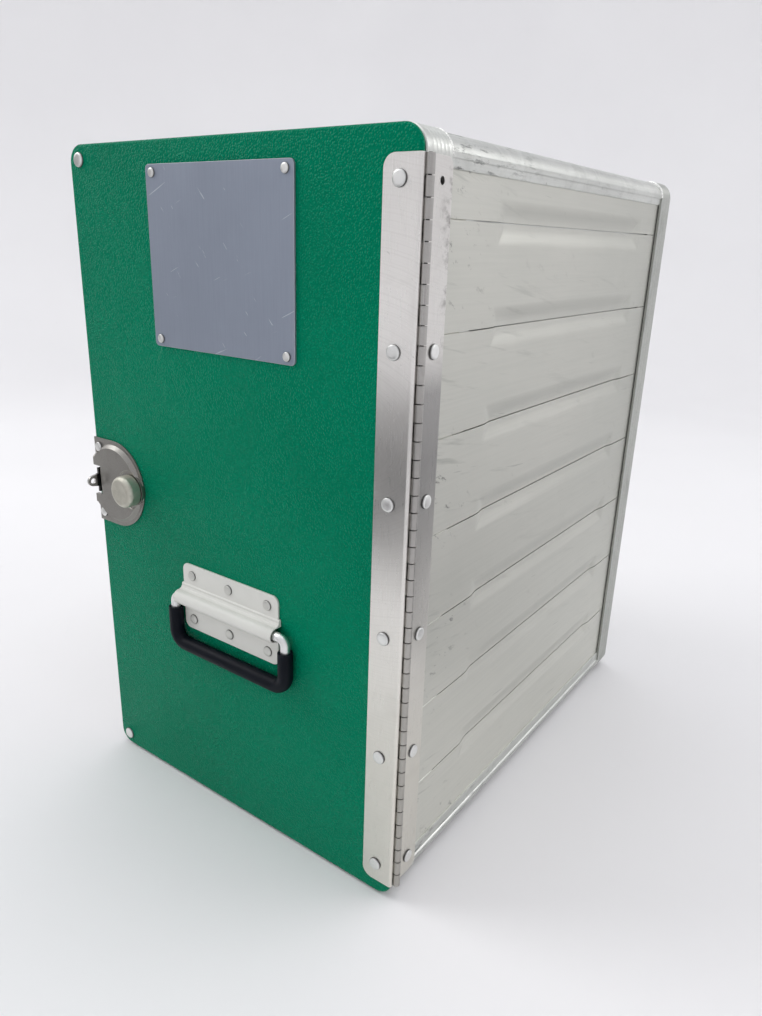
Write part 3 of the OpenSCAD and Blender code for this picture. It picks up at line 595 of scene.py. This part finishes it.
def cut(bm, cutters):
    """The first shape less the others, by an exact boolean."""
    def to_object(shape):
        bmesh.ops.recalc_face_normals(shape, faces=shape.faces)
        mesh = bpy.data.meshes.new("scratch")
        shape.to_mesh(mesh)
        shape.free()
        made = bpy.data.objects.new("scratch", mesh)
        scene.collection.objects.link(made)
        return made

    target = to_object(bm)
    tools = [to_object(c) for c in cutters]
    for tool in tools:
        modifier = target.modifiers.new("cut", "BOOLEAN")
        modifier.operation, modifier.solver, modifier.object = "DIFFERENCE", "EXACT", tool
    bpy.context.view_layer.update()
    result = bmesh.new()
    result.from_object(target, bpy.context.evaluated_depsgraph_get())
    for made in [target, *tools]:
        mesh = made.data
        bpy.data.objects.remove(made)
        bpy.data.meshes.remove(mesh)
    return result


def solids(node):
    """The boxes, in millimetres, of the separate solids in a CAD node, from the lowest up."""
    bm = bmesh.new()
    bm.from_mesh(nodes[node].data)
    bmesh.ops.remove_doubles(bm, verts=bm.verts, dist=2e-6)
    left, found = set(bm.verts), []
    while left:
        seed = left.pop()
        stack, group = [seed], [seed]
        while stack:
            for edge in stack.pop().link_edges:
                for other in edge.verts:
                    if other in left:
                        left.discard(other)
                        stack.append(other)
                        group.append(other)
        columns = list(zip(*(v.co / MM for v in group)))
        found.append((Vector(min(c) for c in columns), Vector(max(c) for c in columns)))
    bm.free()
    return sorted(found, key=lambda b: (round(b[0].z, 1), round(b[0].x, 1), round(b[0].y, 1)))


# height of each rivet's head above what it holds, mm
HEADS = {
    "hinge_body_rivets": 1.5, "hinge_door_rivets": 1.5, "card_plate_rivets": 1.3,
    "door_corner_rivets": 1.6, "handle_rivets": 1.3, "latch_rivets": 1.5,
}
# outline of a head: share of its radius, share of its height
DOME = [
    (0.55, -0.8), (0.99, 0.0), (1.0, 0.10), (1.0, 0.24), (0.975, 0.48),
    (0.92, 0.70), (0.84, 0.85), (0.70, 0.94), (0.45, 0.985), (0.22, 1.0),
]


def shade_and_grime_at(height):
    """How much grime and painted shade a rivet has at a share of its head's height: darkest at the
    foot, none on top.
    """
    return 1.0 if height < 0.3 else 0.75 if height < 0.6 else 0.3 if height < 0.8 else 0.0


def rivet_heads(node, look, towards, seed):
    """Turned rivets where the CAD has them, each leaning a little its own way."""
    rng = random.Random(seed)
    bm = bmesh.new()
    layer = bm.verts.layers.float.new(SHADE_AND_GRIME)
    steps, lean_most = 40, 0.04
    out = Vector(towards)
    side = 0 if out.x else 1
    across = Vector((0, 1, 0)) if out.x else Vector((1, 0, 0))
    up = Vector((0, 0, 1))
    head = HEADS[node]
    for low, high in solids(node):
        radius = (high.z - low.z) / 2
        tip = high[side] if out[side] > 0 else low[side]
        foot = (low + high) / 2
        foot[side] = tip - out[side] * head
        lean = Vector((rng.uniform(-1, 1), rng.uniform(-1, 1))) * lean_most
        rings = []
        for share_r, share_h in DOME:
            ring = []
            for i in range(steps):
                a = 2 * math.pi * i / steps
                at_across, at_up = radius * share_r * math.cos(a), radius * share_r * math.sin(a)
                h = head * share_h + (lean.x * at_across + lean.y * at_up) * share_h
                vert = bm.verts.new(foot + across * at_across + up * at_up + out * min(h, head))
                # grime and painted shade on the head, by height
                vert[layer] = shade_and_grime_at(share_h)
                ring.append(vert)
            rings.append(ring)
        bridge(bm, rings)
        bm.faces.new(rings[-1])
        bm.faces.new(rings[0])
    source = nodes[node]
    return place(node + "_shown", bm, look, source["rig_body"], [node], 50)


# Door skin ------------------------------------------------------------------------------------


def door_skin():
    """The moulded door panel with rounded edges, less the latch's notch, pocket and bolt slot."""
    low, high = box_mm("door_panel")
    corner, round_r, steps = 11.5, 1.6, 8
    angles = [math.radians(90 * i / steps) for i in range(steps + 1)]
    front = [(round_r * (1 - math.sin(a)), low.y + round_r * (1 - math.cos(a))) for a in angles]
    back = [(round_r * (1 - math.cos(a)), high.y - round_r * (1 - math.sin(a))) for a in angles]
    skin = loft([ring_at(low, high, inset, y, corner - inset) for inset, y in front + back])
    latch_low, latch_high = box_mm("latch_housing")
    bolt_low, bolt_high = box_mm("latch_bolt")
    middle = (latch_low.z + latch_high.z) / 2
    far, notch_deep, notch_half, gap, bolt_lap = 3, 8, 10, 0.3, 3.6
    through = (low.y - far, high.y + far)
    notch_z = (middle - notch_half, middle + notch_half)
    notch = block((low.x - far, low.x + notch_deep), through, notch_z)
    pocket_x = (latch_low.x - gap, latch_high.x + gap)
    pocket = block(pocket_x, through, (latch_low.z - gap, latch_high.z + gap))
    slot_x = (low.x + notch_deep - 1, latch_low.x + 1)
    slot = block(slot_x, through, (bolt_low.z + bolt_lap, bolt_high.z - bolt_lap))
    skin = cut(skin, [notch, pocket, slot])
    return place("door_skin_shown", skin, "door", "door", ["door_panel"], 40)


# Frames ---------------------------------------------------------------------------------------


FRAME_CORNER, FRAME_MOUTH = 13, 4  # radii of the corners, outside and at the mouth
FRAME_WALL, FRAME_FACE = 2, 12  # thickness, width of the face


def frame_ring(section):
    """A closed ring; a point of its section is how far in from the edge, y and corner radius."""
    low, high = box_mm("front_frame")
    rings = [ring_at(low, high, inset, y, radius, 14) for inset, y, radius in section]
    return loft(rings, closed=True)


def rounded_edge(radius, y, towards):
    """Section points of a frame's outer edge as it turns from the side to the face at y."""
    points = []
    for i in range(5):
        a = math.radians(90 * i / 4)
        inset = radius * (1 - math.cos(a))
        points.append((inset, y + towards * radius * (1 - math.sin(a)), FRAME_CORNER - inset))
    return points


def front_frame_shown():
    """Channel frame with five shallow grooves outside, the striker's slot and the empty hole."""
    low, high = box_mm("front_frame")
    front, back = low.y, high.y
    corner, mouth, wall, face, face_wall = FRAME_CORNER, FRAME_MOUTH, FRAME_WALL, FRAME_FACE, 3
    section = [(0.25, back, corner - 0.25), (0, back - 0.25, corner)]
    for step in range(5):
        y = back - 3.2 - 3.6 * step
        section += [(0, y + 0.8, corner), (0.22, y, corner - 0.22), (0, y - 0.8, corner)]
    section += rounded_edge(1.2, front, 1)
    section += [
        (face - 0.5, front, mouth + 0.5), (face, front + 0.5, mouth), (face, back - 0.3, mouth),
        (face - 0.3, back, mouth + 0.3), (face - wall, back, mouth + wall),
        (face - wall, front + face_wall, mouth + wall), (wall, front + face_wall, corner - wall),
        (wall, back, corner - wall),
    ]
    striker_low, striker_high = box_mm("striker")
    rivets = solids("hinge_body_rivets")
    pitch = (rivets[-1][0].z - rivets[0][0].z) / (len(rivets) - 1)
    hole = (rivets[-1][0] + rivets[-1][1]) / 2
    hole.z += pitch
    hole.x = high.x
    slot = block(
        (striker_low.x, striker_high.x), (front - 2, front + face_wall + 2),
        (striker_low.z, striker_high.z),
    )
    ring = cut(frame_ring(section), [slot, cylinder(hole, (1, 0, 0), 2.05, 4)])
    place("front_frame_shown", ring, "frame", "body", ["front_frame"], 30)


def rear_frame_shown():
    """Angle frame with two shallow grooves round its outside."""
    low, high = box_mm("rear_frame")
    front, back = low.y, high.y
    corner, mouth, wall, face = FRAME_CORNER, FRAME_MOUTH, FRAME_WALL, FRAME_FACE
    section = [
        (wall, front, corner - wall), (0.25, front, corner - 0.25), (0, front + 0.25, corner),
    ]
    for step in range(2):
        y = front + 5 + 7 * step
        section += [(0, y - 0.7, corner), (0.3, y, corner - 0.3), (0, y + 0.7, corner)]
    section += rounded_edge(1.5, back, -1)
    section += [
        (face - 0.4, back, mouth + 0.4), (face, back - 0.4, mouth), (face, back - wall, mouth),
        (wall, back - wall, corner - wall),
    ]
    ring = frame_ring(section)
    place("rear_frame_shown", ring, "rear_frame", "body", ["rear_frame"], 30)


# Corner rails ---------------------------------------------------------------------------------


def rail_shown(node):
    """Extruded rail: round corner, a lengthwise groove and a stepped lip over the side sheet."""
    low, high = box_mm(node)
    right, top = high.x > 0, low.z > 200
    wall, corner = 1.8, 13
    leg_up, leg_in = high.z - low.z, high.x - low.x
    lip = leg_up - (6.5 if top else 8.0)
    # distances from the outer faces: (from the side face, from the top or bottom face)
    side = [(1.1, leg_up), (0.75, leg_up - 0.5), (0.55, leg_up - 2.4), (0.5, lip + 0.9),
            (1.05, lip + 0.45), (1.05, lip - 0.25), (0.35, lip - 0.8), (0.0, lip - 1.4)]
    arc = []
    for i in range(13):
        a = math.radians(90 * i / 12)
        arc.append((corner * (1 - math.cos(a)), corner * (1 - math.sin(a))))
    end = [(leg_in - 4.6, 0.0), (leg_in - 4.2, 0.5), (leg_in - 3.6, 0.5), (leg_in - 3.2, 0.0),
           (leg_in - 0.4, 0.0), (leg_in, 0.4), (leg_in, wall)]
    inner, inner_r = [], corner - wall
    for degrees in range(90, -1, -10):
        a = math.radians(degrees)
        inner.append((corner - inner_r * math.cos(a), corner - inner_r * math.sin(a)))
    section = side + arc + end + inner + [(wall, leg_up)]
    rings = []
    steps, dent_deep, dented_to = 40, 0.25, 9
    seed = (4.2 if top else 1.1, 9.0 if right else 2.0)
    for k in range(steps + 1):
        y = low.y + (high.y - low.y) * k / steps
        dent = dent_deep * max(0.0, noise.noise(Vector((y * 0.03, *seed))))
        ring = []
        for across, down in section:
            x = high.x - across if right else low.x + across
            z = high.z - down - (dent if down < dented_to else 0) if top else low.z + down
            ring.append((x, y, z))
        rings.append(ring)
    place(node + "_shown", loft(rings), "rail", "body", [node], 38)


# Side sheets ----------------------------------------------------------------------------------


def side_sheet_shown(node, sign):
    """Pressed side sheet: seven soft valleys, each with a slit and a groove that leads up to it."""
    low, high = box_mm(node)
    run_low, run_high = box_mm("right_runners")
    lines = [(b[0].z + b[1].z) / 2 for b in solids("right_runners")]
    thick = 1.2
    depth, half, flat = 1.9, 13.0, 2.5  # of a valley; half its width and half its flat bottom
    slit_half, groove, groove_half = 0.34, 0.5, 0.3
    wave_deep, ding_deep = 0.25, 0.5
    face_x = high.x if sign > 0 else -low.x
    slit_0, slit_1 = run_low.y, run_high.y
    valley_0, valley_1 = slit_0 + 35, slit_1 - 35

    def stations(start, end, step, fixed):
        points = sorted(set([start, end] + [f for f in fixed if start <= f <= end]))
        filled = []
        for a, b in zip(points, points[1:]):
            n = max(1, math.ceil((b - a) / step))
            filled += [a + (b - a) * i / n for i in range(n)]
        return filled + [end]

    def nearest(z):
        return min(lines, key=lambda line: abs(z - line))

    away = [0.35, 0.8, *range(2, 14), 14.2]
    across_lines = [line + d for line in lines for a in (0, *away) for d in (a, -a)]
    rows = stations(low.z, high.z, 7, across_lines)
    ends = [-1] + [1.5 * i for i in range(10)]
    ends = [valley_0 + d for d in ends] + [valley_1 - d for d in ends]
    columns = stations(low.y, high.y, 7, ends + [slit_0, slit_1, slit_0 - 0.8])

    def smooth(t):
        t = min(1.0, max(0.0, t))
        return t * t * (3 - 2 * t)

    def inwards(y, z):
        off = abs(z - nearest(z))
        across = (half - off) / (half - flat)
        along = min(y - valley_0, valley_1 - y) / half
        pressed = depth * smooth(min(across, along))
        edge = min(1.0, min(y - low.y, high.y - y, z - low.z, high.z - z) / 25)
        wave = 0.5 + 0.5 * noise.noise(Vector((y * 0.016, z * 0.021, 3.1 * sign)))
        ding = max(0.0, noise.noise(Vector((y * 0.045, z * 0.05, 7.7 + sign))) - 0.35)
        if off < groove_half and y <= slit_0:
            pressed += groove
        return pressed + max(0.0, edge) * (wave_deep * wave + ding_deep * ding)

    bm = bmesh.new()
    layer = bm.verts.layers.float.new(SHADE_AND_GRIME)
    grid = {}
    for side in (0, 1):
        for i, y in enumerate(columns):
            for k, z in enumerate(rows):
                x = face_x - inwards(y, z) - thick * side
                grid[side, i, k] = bm.verts.new((sign * x, y, z))
                above = z - nearest(z)
                # painted shade on the upper flank of each valley, strongest at mid flank
                if 0 < above < half and side == 0:
                    along = min(1.0, max(0.0, min(y - valley_0, valley_1 - y) / 30))
                    grid[side, i, k][layer] = along * math.sin(math.pi * above / half)

    def is_open(i, k):
        if i < 0 or k < 0 or i >= len(columns) - 1 or k >= len(rows) - 1:
            return True
        y = (columns[i] + columns[i + 1]) / 2
        z = (rows[k] + rows[k + 1]) / 2
        return slit_0 < y < slit_1 and abs(z - nearest(z)) < slit_half

    for i in range(len(columns) - 1):
        for k in range(len(rows) - 1):
            if is_open(i, k):
                continue
            square = [(i, k), (i + 1, k), (i + 1, k + 1), (i, k + 1)]
            bm.faces.new([grid[0, *c] for c in square])
            bm.faces.new([grid[1, *c] for c in reversed(square)])
            sides = zip(square, square[1:] + square[:1])
            neighbours = ((i, k - 1), (i + 1, k), (i, k + 1), (i - 1, k))
            for (a, b), beyond in zip(sides, neighbours):
                if is_open(*beyond):
                    bm.faces.new((grid[0, *b], grid[0, *a], grid[1, *a], grid[1, *b]))
    for v in [v for v in bm.verts if not v.link_faces]:
        bm.verts.remove(v)
    place(node + "_shown", bm, "side", "body", [node], 40)


# Weld beads -----------------------------------------------------------------------------------


def welds():
    """Rippled quarter-round beads in the corners between the rails and the frames."""
    bm = bmesh.new()
    rng = random.Random(5)
    for low, high in solids("weld_beads"):
        bead = (high.y - low.y) / 2
        y = (low.y + high.y) / 2
        right, top = low.x > 0, low.z > 200
        outer = high.x if right else -low.x
        span = high.x - low.x
        arc = span - bead
        cx = (outer - span) * (1 if right else -1)
        cz = high.z - span if top else low.z + span
        quarter = (0 if right else 1) if top else (3 if right else 2)
        steps, sides = 44, 14
        phase = rng.uniform(0, 6)
        loops = []
        for i in range(steps + 1):
            a = math.radians(90 * (quarter + i / steps))
            ripple = 0.90 + 0.07 * math.sin(i * 1.9 + phase) + 0.03 * rng.uniform(-1, 1)
            r = bead * ripple
            shift = 0.18 * math.sin(i * 0.45 + phase) * (1 - ripple) * 5
            ring = []
            for j in range(sides):
                b = 2 * math.pi * j / sides
                far = arc + r * math.cos(b)
                at = (cx + far * math.cos(a), y + r * math.sin(b) + shift, cz + far * math.sin(a))
                ring.append(bm.verts.new(at))
            loops.append(ring)
        bridge(bm, loops)
        bm.faces.new(loops[0])
        bm.faces.new(loops[-1])
    place("weld_beads_shown", bm, "weld", "body", ["weld_beads"], 60)


# Build ----------------------------------------------------------------------------------------

make_camera()
door_skin()
front_frame_shown()
rear_frame_shown()
side_sheet_shown("right_side_panel", 1)
side_sheet_shown("left_side_panel", -1)
welds()
for part in ("top_left_rail", "top_right_rail", "bottom_left_rail", "bottom_right_rail"):
    rail_shown(part)
refined("striker", "striker", 0.35)
refined("hinge_body_leaf", "hinge", 0.18)
refined("hinge_door_leaf", "hinge", 0.18)
refined("card_plate", "card", 0.35)
refined("handle_bracket", "bracket", 0.3)
refined("handle_rod", "rod", 0.3)
refined("handle_grip", "grip", 0.5, 3)
refined("latch_cover", "latch", 0.5, 3)
refined("latch_knob", "knob", 0.3, 3)
refined("latch_bolt", "bolt", 0.3)
refined("door_inner_pan", "sheet", 0.4)
for part in HEADS:
    look = "rivet_painted" if part == "handle_rivets" else "rivet"
    way = (1, 0, 0) if part == "hinge_body_rivets" else (0, -1, 0)
    rivet_heads(part, look, way, seed=len(part))

for part, look in {
    "top_panel": "sheet", "bottom_panel": "sheet", "rear_panel": "rear",
    "left_runners": "runner", "right_runners": "runner",
    "hinge_pin": "pin", "door_gasket": "gasket", "handle_backing_plate": "sheet",
    "latch_housing": "bolt", "latch_crank": "bolt",
}.items():
    nodes[part].material_slots[0].material = LOOKS[look]


# Studio ---------------------------------------------------------------------------------------


def studio():
    """Pale seamless bowl, in metres: a flat floor that curves up into a wall all round."""
    bm = bmesh.new()
    flat, bend, wall = 1.7, 1.3, 1.6
    profile = [(0.3, 0), (0.8, 0), (1.3, 0), (flat, 0)]
    for degrees in range(6, 91, 6):
        a = math.radians(degrees)
        profile.append((flat + bend * math.sin(a), bend * (1 - math.cos(a))))
    profile.append((flat + bend, bend + wall))
    steps = 72
    turns = [2 * math.pi * i / steps for i in range(steps)]
    rings = []
    for r, z in profile:
        rings.append([bm.verts.new((r * math.cos(a), r * math.sin(a), z)) for a in turns])
    bridge(bm, rings)
    bm.faces.new(rings[0])
    bmesh.ops.recalc_face_normals(bm, faces=bm.faces)
    bmesh.ops.reverse_faces(bm, faces=bm.faces)
    mesh = bpy.data.meshes.new("studio_floor")
    bm.to_mesh(mesh)
    bm.free()
    for polygon in mesh.polygons:
        polygon.use_smooth = True
    mesh.materials.append(floor_paint("floor_look"))
    floor = bpy.data.objects.new("studio_floor", mesh)
    scene.collection.objects.link(floor)


def light(name, at, target, size, watts):
    """A soft rectangular lamp at one point that faces another."""
    lamp = bpy.data.lights.new(name, "AREA")
    lamp.shape = "RECTANGLE"
    lamp.size, lamp.size_y = size
    lamp.energy = watts
    made = bpy.data.objects.new(name, lamp)
    scene.collection.objects.link(made)
    made.location = at
    made.rotation_mode = "QUATERNION"
    made.rotation_quaternion = (Vector(target) - Vector(at)).to_track_quat("-Z", "Y")


def dark_card(name, corners, shade):
    """A dull card that only shows in reflections: studios use one to give metal its contrast."""
    bm = bmesh.new()
    bm.faces.new([bm.verts.new(c) for c in corners])
    mesh = bpy.data.meshes.new(name)
    bm.to_mesh(mesh)
    bm.free()
    s = Shader(name + "_look")
    s.finish((shade, shade, shade), 0.9, specular=0.1)
    mesh.materials.append(s.material)
    card = bpy.data.objects.new(name, mesh)
    scene.collection.objects.link(card)
    card.visible_camera = False
    card.visible_shadow = False
    card.visible_diffuse = False


def lying(*corners):
    """Corners of a card that lies just above the floor."""
    return [(x, y, 0.004) for x, y in corners]


def standing(start, end, height):
    """Corners of a card that stands on the floor along a line."""
    return [(*start, 0.0), (*end, 0.0), (*end, height), (*start, height)]


studio()
dark_card("front_card", lying((-0.62, -0.50), (0.12, -0.82), (-0.30, -1.62), (-1.25, -1.05)), 0.05)
dark_card("rear_card", lying((0.32, 0.10), (0.47, 0.03), (1.00, 0.72), (0.78, 0.86)), 0.10)
dark_card("left_card", standing((-1.85, -0.60), (-1.40, -1.38), 1.25), 0.05)
light("key_light", (-1.9, -1.0, 1.7), (0, 0, 0.25), (1.2, 1.6), 22)
light("side_light", (2.3, 1.9, 1.35), (0.1, 0, 0.3), (2.4, 1.9), 42)
light("top_light", (0.0, 0.3, 2.6), (0, 0, 0.2), (2.2, 2.2), 22)
world = bpy.data.worlds.new("studio_world")
world.use_nodes = True
sky = world.node_tree.nodes["Background"].inputs
sky["Color"].default_value = (0.93, 0.95, 1.0, 1)
sky["Strength"].default_value = 0.80
scene.world = world
scene.view_settings.view_transform = "Standard"
